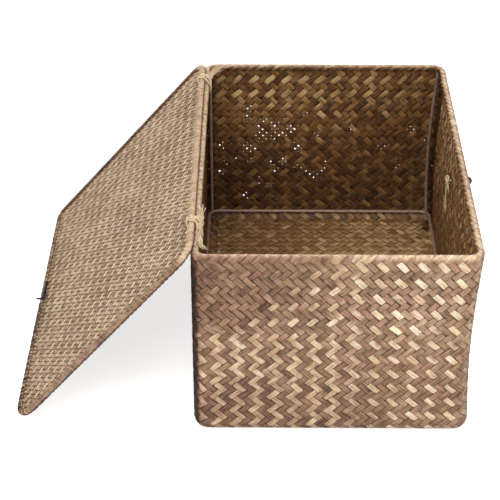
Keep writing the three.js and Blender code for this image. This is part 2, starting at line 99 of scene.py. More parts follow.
def place_camera():
    """It stands where the photograph was taken from, turned by the yaw and dipped by the pitch."""
    pitch, yaw = math.radians(32.157), math.radians(0.424)
    level = math.cos(pitch)
    right = Vector((math.cos(yaw), math.sin(yaw), 0))
    ahead = Vector((-math.sin(yaw) * level, math.cos(yaw) * level, -math.sin(pitch)))
    data = bpy.data.cameras.new("camera")
    data.sensor_width = 36
    data.lens = 115.52
    data.clip_start = 0.05
    data.clip_end = 50
    camera = placed("camera", data)
    turn = Matrix((right, right.cross(ahead), -ahead)).transposed().to_4x4()
    camera.matrix_world = Matrix.Translation((-0.0699, -1.4088, 0.967)) @ turn
    bpy.context.scene.camera = camera


place_camera()


# Meshes from grids of points.
def tube_faces(stations, ring, closed):
    """Faces round a tube of rings: a quad between each pair of neighbours on two following
    rings, and one flat face over each end, or a last band back to the first ring."""
    cell = np.arange(stations * ring).reshape(stations, ring)
    if closed:
        cell = np.vstack([cell, cell[:1]])
    beside = np.roll(cell, -1, axis=1)
    quads = np.stack([cell[:-1], beside[:-1], beside[1:], cell[1:]], axis=-1).reshape(-1)
    sizes = [np.full(quads.size // 4, 4)]
    corners = [quads]
    if not closed:
        corners += [cell[0][::-1], cell[-1]]
        sizes.append(np.array([ring, ring]))
    return np.concatenate(corners), np.concatenate(sizes)


def enclosed(points, corners, sizes):
    """Signed volume: the sum over all faces, cut into fans, of the triple product of each
    triangle's corners over six."""
    starts = np.concatenate([[0], np.cumsum(sizes)[:-1]])
    total = 0.0
    for size in np.unique(sizes):
        at = starts[sizes == size]
        first = points[corners[at]]
        for k in range(1, size - 1):
            one, two = points[corners[at + k]], points[corners[at + k + 1]]
            total += np.einsum("ij,ij->", first, np.cross(one, two)) / 6
    return total


def build(
    name, grids, finish, body, slot, node=None, grain=None, closed=False, crease=50, **values
):
    """One piece made of tubes, which stands for a CAD node if one is named. Each grid holds a
    tube's points, stations by ring by three. grain is each point's place across and along its
    strip. values are numbers kept per point: one for all, a row of them, or an array that
    spreads over tubes, stations and ring."""
    points = np.concatenate([grid.reshape(-1, 3) for grid in grids])
    corners, sizes, base = [], [], 0
    for grid in grids:
        one, size = tube_faces(grid.shape[0], grid.shape[1], closed)
        corners.append(one + base)
        sizes.append(size)
        base += grid.shape[0] * grid.shape[1]
    corners, sizes = np.concatenate(corners), np.concatenate(sizes)
    if enclosed(points - points.mean(axis=0), corners, sizes) < 0:
        starts = np.repeat(np.cumsum(sizes) - sizes, sizes)
        place = np.arange(corners.size) - starts
        corners = corners[starts + np.repeat(sizes, sizes) - 1 - place]
    mesh = bpy.data.meshes.new(name)
    mesh.vertices.add(len(points))
    mesh.vertices.foreach_set("co", (points * 0.001).astype(np.float32).ravel())
    mesh.loops.add(corners.size)
    mesh.loops.foreach_set("vertex_index", corners.astype(np.int32))
    mesh.polygons.add(sizes.size)
    mesh.polygons.foreach_set("loop_start", (np.cumsum(sizes) - sizes).astype(np.int32))
    mesh.polygons.foreach_set("use_smooth", np.ones(sizes.size, bool))
    mesh.update(calc_edges=True)
    if grain is not None:
        layer = mesh.uv_layers.new(name="grain")
        layer.uv.foreach_set("vector", grain[corners].astype(np.float32).ravel())
    for key, numbers in values.items():
        shape = (len(grids), *grids[0].shape[:2]) if np.ndim(numbers) > 1 else len(points)
        numbers = np.broadcast_to(np.asarray(numbers, np.float32), shape)
        mesh.attributes.new(key, "FLOAT", "POINT").data.foreach_set("value", numbers.ravel())
    mesh.validate()
    mesh.set_sharp_from_angle(angle=math.radians(crease))
    mesh.materials.append(finish)
    piece = placed(name, mesh)
    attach(piece, body)
    if node:
        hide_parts(node)
    return piece


def grain_at(across, along, shape):
    """Each point's place across and along its strip, spread over points of that shape."""
    both = [np.broadcast_to(part, shape) for part in (across, along)]
    return np.stack(both, axis=-1).reshape(-1, 2)


def smooth(x):
    """Zero below nought, one above one, and a smooth rise between."""
    x = np.clip(x, 0, 1)
    return x * x * (3 - 2 * x)


def between(x, start, rise, end, fall):
    """One between start and end: it comes up within rise after the start, and goes down within
    fall before the end."""
    return smooth((x - start) / rise) * smooth((end - x) / fall)


def waves(along, count, lengths):
    """Smooth random numbers about nought for each of count strips: a sum of sines of the given
    wavelengths, each strip with its own phases. along is one row of places, or a row a strip."""
    phases = random.uniform(0, 2 * np.pi, (len(lengths), count, 1))
    total = sum(
        np.sin(2 * np.pi * along / length + phase) for length, phase in zip(lengths, phases)
    )
    return total / len(lengths)


def ring_angles(count):
    """Angles evenly spaced all round, from nought."""
    return np.linspace(0, 2 * np.pi, count, endpoint=False)


def toward(angle):
    """The point of the unit circle at an angle: its cosine and its sine."""
    return np.stack([np.cos(angle), np.sin(angle)], axis=-1)


def carried(route, reference, section):
    """A section carried along a route. Side is the reference crossed with the route's direction,
    up is the direction crossed with side; section holds side and up amounts, one ring for all
    stations or one for each."""
    ahead = np.gradient(route, axis=0)
    ahead /= np.linalg.norm(ahead, axis=1, keepdims=True)
    side = np.cross(np.broadcast_to(np.asarray(reference, float), ahead.shape), ahead)
    side /= np.linalg.norm(side, axis=1, keepdims=True)
    up = np.cross(ahead, side)
    section = np.broadcast_to(section, (len(route),) + np.shape(section)[-2:])
    return (
        route[:, None]
        + section[..., :1] * side[:, None]
        + section[..., 1:] * up[:, None]
    )


def lengths_along(route):
    """The length of the route up to each of its points."""
    steps = np.linalg.norm(np.diff(route, axis=0), axis=1)
    return np.concatenate([[0], np.cumsum(steps)])


def resampled(route, spacing):
    """The route at even spacing, by straight lines between its points."""
    along = lengths_along(route)
    places = np.linspace(0, along[-1], max(int(along[-1] / spacing), 2) + 1)
    return np.stack([np.interp(places, along, route[:, k]) for k in range(3)], axis=1)


def curve_through(points):
    """A smooth curve through the points, eight steps a span: each span blends the four points
    about it, pair by pair, each pair by its place on a scale of the distances' square roots."""
    points = np.asarray(points, float)
    ends = [2 * points[0] - points[1]], [2 * points[-1] - points[-2]]
    knots = np.concatenate([ends[0], points, ends[1]])
    p0, p1, p2, p3 = knots[:-3], knots[1:-2], knots[2:-1], knots[3:]

    def gap(one, other):
        return np.sqrt(np.linalg.norm(other - one, axis=1, keepdims=True))[:, None]

    t1 = gap(p0, p1)
    t2 = t1 + gap(p1, p2)
    t3 = t2 + gap(p2, p3)
    t = t1 + (t2 - t1) * np.linspace(0, 1, 8, endpoint=False)[None, :, None]
    p0, p1, p2, p3 = (p[:, None] for p in (p0, p1, p2, p3))
    a1 = (t1 - t) / t1 * p0 + t / t1 * p1
    a2 = (t2 - t) / (t2 - t1) * p1 + (t - t1) / (t2 - t1) * p2
    a3 = (t3 - t) / (t3 - t2) * p2 + (t - t2) / (t3 - t2) * p3
    b1 = (t2 - t) / t2 * a1 + t / t2 * a2
    b2 = (t3 - t) / (t3 - t1) * a2 + (t - t1) / (t3 - t1) * a3
    curve = ((t2 - t) / (t2 - t1) * b1 + (t - t1) / (t2 - t1) * b2).reshape(-1, 3)
    return np.concatenate([curve, points[-1:]])


def twined(route, diameter, reference, sides=12):
    """A cord of two plies: a ring of two lobes, whose radius is the outer one less a fifth of it
    between the lobes, carried along the route while it turns once in 3.2 diameters. Its ends
    round off. Returns the grid and each point's grain."""
    lay = 3.2 * diameter
    route = resampled(route, lay / 12)
    along = lengths_along(route)
    angle = ring_angles(sides)[None]
    turn = 2 * np.pi * along[:, None] / lay
    radius = diameter / 2 * (1 - 0.2 * np.abs(np.sin(angle - turn)) ** 1.5)
    ends = np.minimum(along, along[-1] - along)[:, None] / (diameter / 2)
    radius = radius * np.sqrt(np.clip(0.35 + ends, 0, 1))
    grid = carried(route, reference, radius[..., None] * toward(angle))
    return grid, grain_at((angle - turn) / (2 * np.pi), along[:, None], radius.shape)


# Finishes.
def tint(red, green, blue):
    """A colour of the screen, 0 to 255, as Blender's linear one."""
    part = np.array([red, green, blue]) / 255
    linear = np.where(part <= 0.04045, part / 12.92, ((part + 0.055) / 1.055) ** 2.4)
    return (*linear, 1.0)


def add_node(tree, kind, inputs, **settings):
    """A new node with those settings, each input a value or the socket that feeds it. Returns
    its outputs."""
    node = tree.nodes.new(kind)
    for key, value in settings.items():
        setattr(node, key, value)
    for key, value in inputs.items():
        if isinstance(value, bpy.types.NodeSocket):
            tree.links.new(value, node.inputs[key])
        else:
            node.inputs[key].default_value = value
    return node.outputs


class Finish:
    """A material under way. Each method adds one node or a few and returns an output socket."""

    def __init__(self, name, roughness, specular=0.5, metallic=0.0):
        self.material = bpy.data.materials.new(name)
        self.material.use_nodes = True
        self.tree = self.material.node_tree
        self.shader = self.tree.nodes["Principled BSDF"]
        self.shader.inputs["Roughness"].default_value = roughness
        self.shader.inputs["Specular IOR Level"].default_value = specular
        self.shader.inputs["Metallic"].default_value = metallic

    def add(self, kind, inputs, output, **settings):
        return add_node(self.tree, kind, inputs, **settings)[output]

    def value(self, name):
        return self.add("ShaderNodeAttribute", {}, "Fac", attribute_name=name)

    def grain(self, across, along, strand=0.0):
        """The strip's own coordinates, scaled, with the strip's number for a third."""
        uv = self.add("ShaderNodeUVMap", {}, "UV", uv_map="grain")
        parts = add_node(self.tree, "ShaderNodeSeparateXYZ", {0: uv})
        x = self.math("MULTIPLY", parts["X"], across)
        y = self.math("MULTIPLY", parts["Y"], along)
        return self.add("ShaderNodeCombineXYZ", {"X": x, "Y": y, "Z": strand}, "Vector")

    def place(self, scale):
        """Object coordinates, scaled alike or by three numbers."""
        spot = self.add("ShaderNodeTexCoord", {}, "Object")
        scale = (scale,) * 3 if np.isscalar(scale) else scale
        return self.add("ShaderNodeMapping", {"Vector": spot, "Scale": scale}, "Vector")

    def noise(self, vector, detail=3.0, roughness=0.55):
        inputs = {"Vector": vector, "Scale": 1.0, "Detail": detail, "Roughness": roughness}
        return self.add("ShaderNodeTexNoise", inputs, "Fac")

    def math(self, kind, one, two=0.0, three=0.0, clamp=False):
        inputs = {0: one, 1: two, 2: three}
        return self.add("ShaderNodeMath", inputs, 0, operation=kind, use_clamp=clamp)

    def swayed(self, base, value, amount, clamp=False):
        """The base plus the amount for what the value is over a half."""
        return self.math("MULTIPLY_ADD", self.math("SUBTRACT", value, 0.5), amount, base, clamp)

    def spread(self, value, start, end, first=0.0, last=1.0):
        inputs = {"Value": value, 1: start, 2: end, 3: first, 4: last}
        return self.add("ShaderNodeMapRange", inputs, 0, clamp=True)

    def ramp(self, value, stops):
        node = self.tree.nodes.new("ShaderNodeValToRGB")
        self.tree.links.new(value, node.inputs[0])
        elements = node.color_ramp.elements
        while len(elements) < len(stops):
            elements.new(1.0)
        for element, (at, colour) in zip(elements, stops):
            element.position = at
            element.color = tint(*colour)
        return node.outputs["Color"]

    def mix(self, share, one, two, blend="MIX"):
        inputs = {0: share, 6: one, 7: two}
        return self.add("ShaderNodeMix", inputs, 2, data_type="RGBA", blend_type=blend)

    def done(self, colour, bump, depth, strength, rough=None):
        self.tree.links.new(colour, self.shader.inputs["Base Color"])
        if rough is not None:
            self.tree.links.new(rough, self.shader.inputs["Roughness"])
        inputs = {"Height": bump, "Distance": depth, "Strength": strength}
        normal = self.add("ShaderNodeBump", inputs, "Normal")
        self.tree.links.new(normal, self.shader.inputs["Normal"])
        return self.material


def strip_finish(name, stops, inner_stops, edge, lines, gap, mottle):
    """Dried leaf strip: the strip's own tone picks its colour, fine dark fibres and short dashes
    run along it, blotches redden or grey it slowly, and painted shade darkens its edges, down to
    edge from gap on, by more or less from place to place. The inner face has colours of its own."""
    finish = Finish(name, roughness=0.55, specular=0.35)
    strand = finish.value("strand")
    fibre = finish.noise(finish.grain(lines, 0.07, strand), detail=2.0, roughness=0.75)
    blotch = finish.noise(finish.place(75.0), detail=2.0)
    edge_shade_noise = finish.noise(finish.place(190.0), detail=1.0)
    tone = finish.swayed(finish.value("tone"), blotch, mottle)
    tone = finish.swayed(tone, fibre, 0.75, clamp=True)
    inner = finish.value("inner")
    colour = finish.mix(inner, finish.ramp(tone, stops), finish.ramp(tone, inner_stops))
    own = finish.noise(finish.grain(0.0, 0.02, strand), detail=1.0)
    casts = [(0.38, (255, 246, 244)), (0.5, (255, 255, 255)), (0.62, (255, 254, 243))]
    colour = finish.mix(1.0, colour, finish.ramp(own, casts), "MULTIPLY")
    dash = finish.noise(finish.grain(1.6 * lines, 0.24, strand), detail=1.0)
    fibre_dark = finish.spread(fibre, 0.31, 0.42, 0.5, 1.0)
    dash_dark = finish.spread(dash, 0.3, 0.37, 0.6, 1.0)
    # Painted shade at the strip's edges and float ends, set by the rim value and moved about by
    # noise.
    rim = finish.swayed(finish.value("rim"), edge_shade_noise, 0.35)
    painted_edge_shade = finish.spread(rim, gap, 0.98, 1.0, edge)
    shade = finish.math("MULTIPLY", finish.math("MULTIPLY", fibre_dark, dash_dark), painted_edge_shade)
    grey = finish.add("ShaderNodeCombineColor", {0: shade, 1: shade, 2: shade}, 0)
    colour = finish.mix(1.0, colour, grey, "MULTIPLY")
    return finish.done(colour, fibre, depth=0.0004, strength=0.6)


seagrass = strip_finish(
    "seagrass_strip",
    [
        (0.0, (84, 58, 40)),
        (0.22, (124, 92, 70)),
        (0.45, (160, 126, 101)),
        (0.65, (190, 158, 129)),
        (0.82, (222, 196, 164)),
        (1.0, (246, 230, 204)),
    ],
    # The inner face's colours: darker and redder, partly the strips' own inner side and partly
    # painted shade of the basket's inside.
    [(0.0, (38, 21, 6)), (0.35, (92, 60, 28)), (0.65, (146, 106, 60)), (1.0, (214, 178, 126))],
    edge=0.2, lines=5.0, gap=0.8, mottle=0.16,
)
fine_stops = [
    (0.0, (96, 68, 44)), (0.35, (164, 132, 98)), (0.6, (208, 176, 142)), (1.0, (246, 220, 186))
]
fine_seagrass = strip_finish(
    "fine_seagrass_strip", fine_stops, fine_stops, edge=0.18, lines=3.0, gap=0.6, mottle=0.1
)
edge_strip = strip_finish(
    "lid_edge_strip",
    [(0.0, (44, 26, 18)), (0.3, (116, 86, 68)), (0.6, (186, 154, 124)), (1.0, (236, 212, 180))],
    [(0.0, (44, 26, 18)), (1.0, (236, 212, 180))],
    edge=0.35, lines=4.0, gap=0.85, mottle=0.1,
)


def cord_finish(name, dark, pale, roughness):
    """Twisted fibre: pale and dark streaks that turn with the plies and run along the cord."""
    finish = Finish(name, roughness, specular=0.3)
    streak = finish.noise(finish.grain(across=14.0, along=0.12), detail=3.0, roughness=0.7)
    colour = finish.ramp(streak, [(0.25, dark), (0.6, pale)])
    return finish.done(colour, streak, depth=0.0003, strength=0.7)


def wire_finish():
    """Brown paint on wire, half gloss, with scuffs where it is lighter and rougher."""
    finish = Finish("brown_painted_wire", roughness=0.38, metallic=0.15)
    scuff = finish.noise(finish.place(240.0), detail=4.0, roughness=0.65)
    browns = [(0.35, (130, 106, 88)), (0.62, (168, 140, 120)), (0.75, (196, 170, 148))]
    rough = finish.spread(scuff, 0.4, 0.7, 0.3, 0.6)
    return finish.done(finish.ramp(scuff, browns), scuff, depth=0.0001, strength=0.4, rough=rough)


def turned_finish():
    """Dark varnished wood with its grain along the peg."""
    finish = Finish("dark_turned_wood", roughness=0.3)
    grain = finish.noise(finish.place((90.0, 900.0, 900.0)), detail=4.0, roughness=0.6)
    browns = [(0.3, (26, 20, 18)), (0.6, (58, 44, 36)), (0.8, (84, 66, 52))]
    return finish.done(finish.ramp(grain, browns), grain, depth=0.0001, strength=0.3)


pale_twine = cord_finish("pale_fibre_twine", (170, 138, 100), (238, 218, 184), 0.75)
black_twine = cord_finish("black_twisted_cord", (14, 12, 12), (52, 46, 44), 0.55)
painted_wire = wire_finish()
turned_wood = turned_finish()


# Cords. Their routes are the model's own.
def toggle_tail_route():
    """Down from under the knot, with a slow swing of half a sine to the rear and inwards."""
    top, length = 141.4, 31
    part = np.linspace(0, 1, 15)
    swing = np.sin(np.pi * part)
    return np.stack(
        [knot_x - 0.6 * swing, toggle_y + 1.2 * swing, top - length * part], axis=1
    )


def closure_loop_route():
    """Two sides that settle from the pivot to the floor and narrow on the way, and half a
    circle between their ends."""
    pivot_x, pivot_z, length, lying = -298.04, 3.71, 53.5, 1.35
    bight_x, bight_radius = -244.54, 8.5
    part = np.array([0, 0.05, 0.1, 0.15, 0.2, 0.25, 0.5, 0.75, 1])
    x = pivot_x + length * part
    narrow = 1.5 * smooth((part - 0.1) / 0.9)
    z = pivot_z + (lying - pivot_z) * smooth(part / 0.25)
    front = np.stack([x, front_hole + narrow, z], axis=1)
    rear = np.stack([x, rear_hole - narrow, z], axis=1)
    bend = bight_radius * toward(-np.pi / 2 + np.pi * np.arange(1, 6) / 6)
    middle = (front_hole + rear_hole) / 2
    bight = np.stack([bight_x + bend[:, 0], middle + bend[:, 1], np.full(5, lying)], axis=1)
    return np.concatenate([front, bight, rear[::-1]])


def lay_cord(name, node, body, slot, finish, points, diameter, reference):
    """A limp twisted cord along the curve through the points."""
    route = curve_through(points)
    grid, grain = twined(route, diameter, reference)
    piece = build(name, [grid], finish, body, slot, node, grain)


lay_cord(
    "toggle_cord_hanging_end", "toggle_cord_tail", "basket", "fibre_cord", pale_twine,
    toggle_tail_route(), 1.8, (0, 1, 0),
)
lay_cord(
    "closure_cord_loop", "closure_loop", "loop", "black_cord", black_twine,
    closure_loop_route(), 2.4, (0, 0, 1),
)


# Outlines.
def rounded_outline(left, right, front, rear, radii):
    """A rounded rectangle as eight stretches, straight and corner in turn, anticlockwise from
    the front's straight. radii goes front right, rear right, rear left, front left."""
    fr, rr, rl, fl = radii
    straight = [
        right - fr - left - fl, rear - rr - front - fr, right - rr - left - rl,
        rear - rl - front - fl,
    ]
    stretches = [part for r, s in zip(radii, straight) for part in (s, r * np.pi / 2)]
    return {
        "start": np.array(
            [(left + fl, front), (right, front + fr), (right - rr, rear), (left, rear - rl)]
        ),
        "ahead": np.array([(1, 0), (0, 1), (-1, 0), (0, -1)], float),
        "centre": np.array(
            [(right - fr, front + fr), (right - rr, rear - rr), (left + rl, rear - rl),
             (left + fl, front + fl)]
        ),
        "radius": np.array(radii, float),
        "marks": np.concatenate([[0], np.cumsum(stretches)]),
    }


def on_outline(outline, way, inset):
    """Points moved in from the outline: on a straight, along it and inwards; on a corner, on a
    circle about its middle whose radius is the corner's less the inset."""
    marks, inset = outline["marks"], np.asarray(inset)
    way = np.mod(way, marks[-1])
    stretch = np.clip(np.searchsorted(marks, way, side="right") - 1, 0, 7)
    side = stretch // 2
    past = way - marks[stretch]
    ahead = outline["ahead"][side]
    out = np.stack([ahead[..., 1], -ahead[..., 0]], axis=-1)
    straight = outline["start"][side] + ahead * past[..., None] - out * inset[..., None]
    radius = outline["radius"][side]
    rim = toward((side - 1) * np.pi / 2 + past / radius)
    corner = outline["centre"][side] + rim * (radius - inset)[..., None]
    return np.where((stretch % 2 == 0)[..., None], straight, corner)


basket_outline = rounded_outline(low[0], -low[0], low[1], high[1], (rim_corner,) * 4)
girth = basket_outline["marks"][-1]
wall_pitch = girth * math.sin(wall_slope) / wall_strip_count

# The middle of the skin, from under the floor's edge up the wall and round the rim's roll.
skin_radius = bottom_radius - skin / 2
hem_radius = roll_radius - skin / 2
wall_start = skin_radius * np.pi / 2
wall_end = wall_start + roll_height - bottom_radius
hem_end = wall_end + hem_radius * math.radians(216)

# Places where the walls let light through: way round, height and reach.
thin_places = np.array(
    [
        # The rear wall.
        (853, 144, 7), (855, 132, 7), (835, 130, 5), (811, 132, 5), (823, 123, 8), (804, 119, 9),
        (817, 113, 5), (838, 110, 9), (824, 107, 6), (812, 110, 5), (842, 120, 5), (787, 137, 5),
        (786, 103, 5), (797, 95, 7), (855, 94, 9), (844, 92, 6), (851, 78, 5), (868, 78, 6),
        (880, 74, 5), (887, 63, 6), (827, 76, 5), (814, 78, 7), (823, 64, 5), (797, 69, 5),
        (785, 62, 6), (776, 57, 7), (767, 65, 6), (763, 77, 5), (841, 48, 5), (858, 32, 6),
        (775, 110, 5), (886, 96, 6), (735, 118, 5), (700, 96, 5), (665, 120, 6), (680, 70, 5),
        # The right wall.
        (603, 168, 6), (601, 152, 6), (555, 160, 8), (530, 158, 8), (570, 144, 6), (624, 116, 6),
        (585, 110, 8), (538, 133, 9), (508, 144, 8), (622, 79, 6), (554, 113, 7), (578, 94, 6),
        (528, 115, 7), (500, 135, 6), (597, 57, 6), (530, 88, 8), (491, 99, 6), (455, 120, 10),
        (430, 135, 8), (480, 98, 6), (412, 141, 7), (338, 170, 6), (362, 149, 8), (432, 101, 6),
        # The left wall.
        (945, 165, 8), (960, 150, 8), (985, 158, 8), (1005, 140, 8), (1030, 150, 8),
        (1075, 150, 8), (1110, 160, 8), (1160, 140, 8), (925, 120, 9), (950, 95, 9),
    ]
)


def wall_inset(z):
    """How far the right wall has drawn in at a height: its lean, and a belly of half a sine."""
    up = np.clip(z / roll_height, 0, 1)
    return lean_right * (1 - up) + waist_right * np.sin(np.pi * up)


def drawn_in(x, z):
    """X with the right wall's drawing in shared out evenly between the corners' middles."""
    share = np.clip((x - low[0] - rim_corner) / (-2 * (low[0] + rim_corner)), 0, 1)
    return x - wall_inset(z) * share


def on_skin(way, rise, lift):
    """A point of the plaited skin, way along the outline and rise up its profile, lift out from
    its middle. The profile is flat under the floor, a quarter circle, straight, and a roll."""
    turn = np.clip(rise / skin_radius, 0, np.pi / 2) - np.pi / 2
    inset = bottom_radius - skin_radius * np.cos(turn) - np.minimum(rise, 0)
    height = bottom_radius + skin_radius * np.sin(turn)
    height = height + np.clip(rise, wall_start, wall_end) - wall_start
    roll = np.maximum(rise - wall_end, 0) / hem_radius
    inset = inset + hem_radius * (1 - np.cos(roll))
    height = height + hem_radius * np.sin(roll)
    out = np.cos(turn) * np.cos(roll)
    up = np.where(roll > 0, np.sin(roll), np.sin(turn))
    spot = on_outline(basket_outline, way, inset - lift * out)
    height = height + lift * up
    return np.stack([drawn_in(spot[..., 0], height), spot[..., 1], height], axis=-1)


def over_and_under(phase, height):
    """The way of a strip over two and under two: a sine over four crossings, steepened until
    its tops are flat."""
    return height * np.sin(np.pi / 2 * np.clip(1.8 * np.sin(np.pi / 2 * phase), -1, 1))


def wall_height(rise):
    """Height over the floor of a place that far up the skin's profile, on the straight."""
    return rise - wall_start + bottom_radius


def hem_degrees(rise):
    """How far round the rim's roll a place up the skin's profile has gone."""
    return np.degrees(np.maximum(rise - wall_end, 0) / hem_radius)


def thinness(way, rise):
    """How thin the plait is at a place: the greatest of a set of bumps, each one at its middle
    and nought at its reach."""
    z = wall_height(rise)
    bumps = [
        1 - ((way - place) ** 2 + (z - height) ** 2) / reach**2
        for place, height, reach in thin_places
    ]
    return smooth(1.6 * np.max(bumps, axis=0))


# The plait opens towards the rim, by this share for each of these lengths up.
taller, taller_over = 0.045, 200


def opened(run_height):
    """Height up the profile for a distance along the plait: longer by a share that grows with
    the height, so the bands at the rim are nearly a tenth taller."""
    return run_height * (1 + taller * np.maximum(run_height, 0) / taller_over)


def closed(rise):
    """The distance along the plait for a height: the positive root of what opened does."""
    share = taller / taller_over
    return (np.sqrt(1 + 4 * share * np.maximum(rise, 0)) - 1) / (2 * share) + np.minimum(rise, 0)


def wall_tone(way, rise, side, number):
    """How pale a wall's strip is. Every second strip is pale, in some parts of the wall those
    that rise to the right and in others those that rise to the left. x is measured from the
    front's middle, z is the height, and each step between parts has a place and a width."""
    front_middle, upper = 118, 124
    x = way - front_middle
    z = wall_height(rise)
    front = between(way, -14, 8, 250, 8)
    past_slant = (x + 92) * math.sin(wall_slope) - (z - upper) * math.cos(wall_slope)
    lower = smooth((upper - z) / 14)
    if side > 0:
        zone = np.maximum(lower, smooth(past_slant / 9)) * smooth((34 - x) / 26)
    else:
        zone = np.maximum(lower * (1 - 0.45 * smooth((x - 20) / 40)), smooth((x + 6) / 22))
    elsewhere = 0.5 + 0.5 * np.sin(way / 61 + rise / 37 + side) * np.sin(way / 97 - rise / 53)
    zone = front * zone + (1 - front) * 0.6 * elsewhere
    pale = (number % 2 == 0)[:, None] * zone
    reddish = front * smooth((z - 100) / 40) * smooth((10 - x) / 60)
    # Darker towards the bottom of the front, painted shade.
    down = 0.09 * smooth((130 - z) / 40) + 0.1 * smooth((75 - z) / 40) * smooth((70 - x) / 50)
    right = 0.07 * smooth((x - 10) / 60)
    return 0.4 + 0.4 * pale - 0.09 * reddish + (right - down) * front


def inner_tone(way, rise, side, number):
    """How much paler a strip's inner face is than its outer one: paler near the rim, where every
    second strip that rises to the left stands out, and round the bottom edge; paler on the right
    wall, painted light, with streaks; darker down the walls and beside the rear posts, painted
    shade."""
    z = wall_height(rise)
    marked = 0.22 * ((number % 2 == 0) & (side < 0))[:, None] * smooth((z - 135) / 30)
    right_wall = between(way, 262, 12, 618, 12)
    corners = np.maximum(between(way, 610, 8, 640, 6), between(way, 892, 5, 914, 5))
    streaks = 0.2 * waves(rise, len(way), (7, 13, 31))
    paler = marked + 0.05 - 0.2 * smooth((140 - z) / 100) + 0.25 * smooth((17 - z) / 7)
    return paler + right_wall * (0.2 + streaks) - 0.35 * corners


strip_section = np.array([(-1, 0), (-0.62, 0.9), (0.62, 0.9), (1, 0), (0.62, -0.9), (-0.62, -0.9)])
strip_across, strip_up = strip_section.T
inner_face = 0.5 - 0.56 * strip_up


def wall_strips(name, node, side, first, count):
    """Strips of the walls that rise to the right (side 1) or to the left (side -1), seen from
    outside. A strip's middle keeps one number on its own family's axis and runs along the
    other's; the two axes lie the wall's slope above and below the level."""
    number = first + np.arange(count)
    per_mm = 2 * math.cos(wall_slope) / wall_pitch
    start = -3.0 * per_mm
    end = closed(hem_end if side > 0 else wall_end + 0.6) * per_mm
    run = np.linspace(start, end, int((end - start) * 3) + 1)[None]
    rise = opened(run / per_mm)
    slant = wall_pitch / (2 * math.sin(wall_slope))
    wave, half_thick, full_width = 0.5, 0.42, 1.06
    middle_way = np.mod((2 * number[:, None] + 1 + side * run) * slant + 20, girth) - 20

    # The strip's middle, over and under, and folded down round the rim.
    lift = side * over_and_under(run + 0.5, wave) * (1 + 0.2 * waves(run, count, (5, 13)))
    folded = smooth((rise - wall_end + 4) / 6)
    # Painted shade where the strip dives under its neighbours, on its inner face and at its
    # floats' ends.
    crossing_shade = smooth((0.44 - np.abs(lift)) / 0.3) * (1 - folded)
    ends = (1.15 - 1.5 * np.abs(lift)) * (1 - folded)
    lift = lift * (1 - folded) + folded * (0.25 if side > 0 else -0.25)
    narrow = 0.2 * random.random((count, 1)) ** 5
    width = full_width - narrow + 0.05 * waves(run, count, (3.1, 5.7, 19))
    width = width - 0.3 * thinness(middle_way, rise)
    width = width + 0.34 * folded - 0.8 * smooth((hem_degrees(rise) - 92) / 45)
    drift = 0.07 * waves(run, count, (4.7, 9, 23))
    tilt = 0.2 * waves(run, count, (4.3, 7, 15)) * (1 - 0.6 * folded)
    across = drift[..., None] + 0.5 * width[..., None] * strip_across
    level = lift[..., None] + half_thick * strip_up + tilt[..., None] * strip_across
    way = (2 * number[:, None, None] + 1 + across + side * run[..., None]) * slant
    up = opened((run[..., None] - side * across) / per_mm)
    points = on_skin(way, up, level)

    # Its tone, with the pale turns of the rim: their own paler colour, and over the top of the
    # roll a painted highlight.
    tone = wall_tone(middle_way, rise, side, number)
    tone = tone + 0.05 * random.standard_normal((count, 1))
    tone = tone + 0.16 * waves(run, count, (2.9, 5.3, 8.9, 17))
    around_hem = hem_degrees(up)
    front_right = between(middle_way, 110, 50, 250, 10)
    first_row = 0.8 * front_right[..., None] * smooth((up - wall_end + 1) / 3)
    crest = np.maximum(smooth((around_hem - 56) / 18), first_row)
    crest = crest * smooth((140 - around_hem) / 42)
    left_rim = smooth((middle_way - 900) / 12)[..., None] * smooth((up - wall_end) / 3)
    pale_rim = np.maximum(crest, 0.9 * left_rim)
    tone = tone[..., None] * (1 - 0.8 * pale_rim) + 0.72 * pale_rim

    # The inner face, with painted shade on the roll's inner side, and painted shade down the front
    # left corner and, less, over the left wall, under the lid.
    inner = inner_face * (1 - folded[..., None])
    inner = np.minimum(inner + smooth((around_hem - 125) / 40), 1)
    paler = inner_tone(middle_way, rise, side, number) - 0.2 * crossing_shade
    tone = tone + inner * paler[..., None]
    around = np.mod(way + girth / 2, girth) - girth / 2
    on_wall = smooth((wall_end + 1 - rise) / 3)[..., None] * (1 - inner)
    painted_corner_shade = between(around, -27, 4, -8, 2.5) * on_wall
    left_wall_shade = smooth((-20 - around) / 8) * on_wall
    tone = tone - 0.4 * painted_corner_shade - 0.12 * left_wall_shade
    # Painted shade along the strip's sides and at its floats' ends, nearly none on the pale rim.
    rim = np.maximum(np.abs(strip_across), ends[..., None]) * (1 - 0.85 * pale_rim)
    strand = random.random((count, 1, 1)) * strand_range
    grain = grain_at((strip_across + 1) / 2, run[..., None] * wall_pitch, way.shape)
    build(
        name, list(points), seagrass, "basket", "plaited_strip", node, grain,
        tone=tone, inner=inner, strand=strand, rim=np.maximum(rim, 0.93 * painted_corner_shade),
    )


half_count = wall_strip_count // 2
for side, word in ((1, "right"), (-1, "left")):
    for part in range(2):
        node = "basket_shell" if side > 0 and part == 0 else None
        name = f"wall_strips_rising_{word}_{part + 1}"
        wall_strips(name, node, side, part * half_count, half_count)


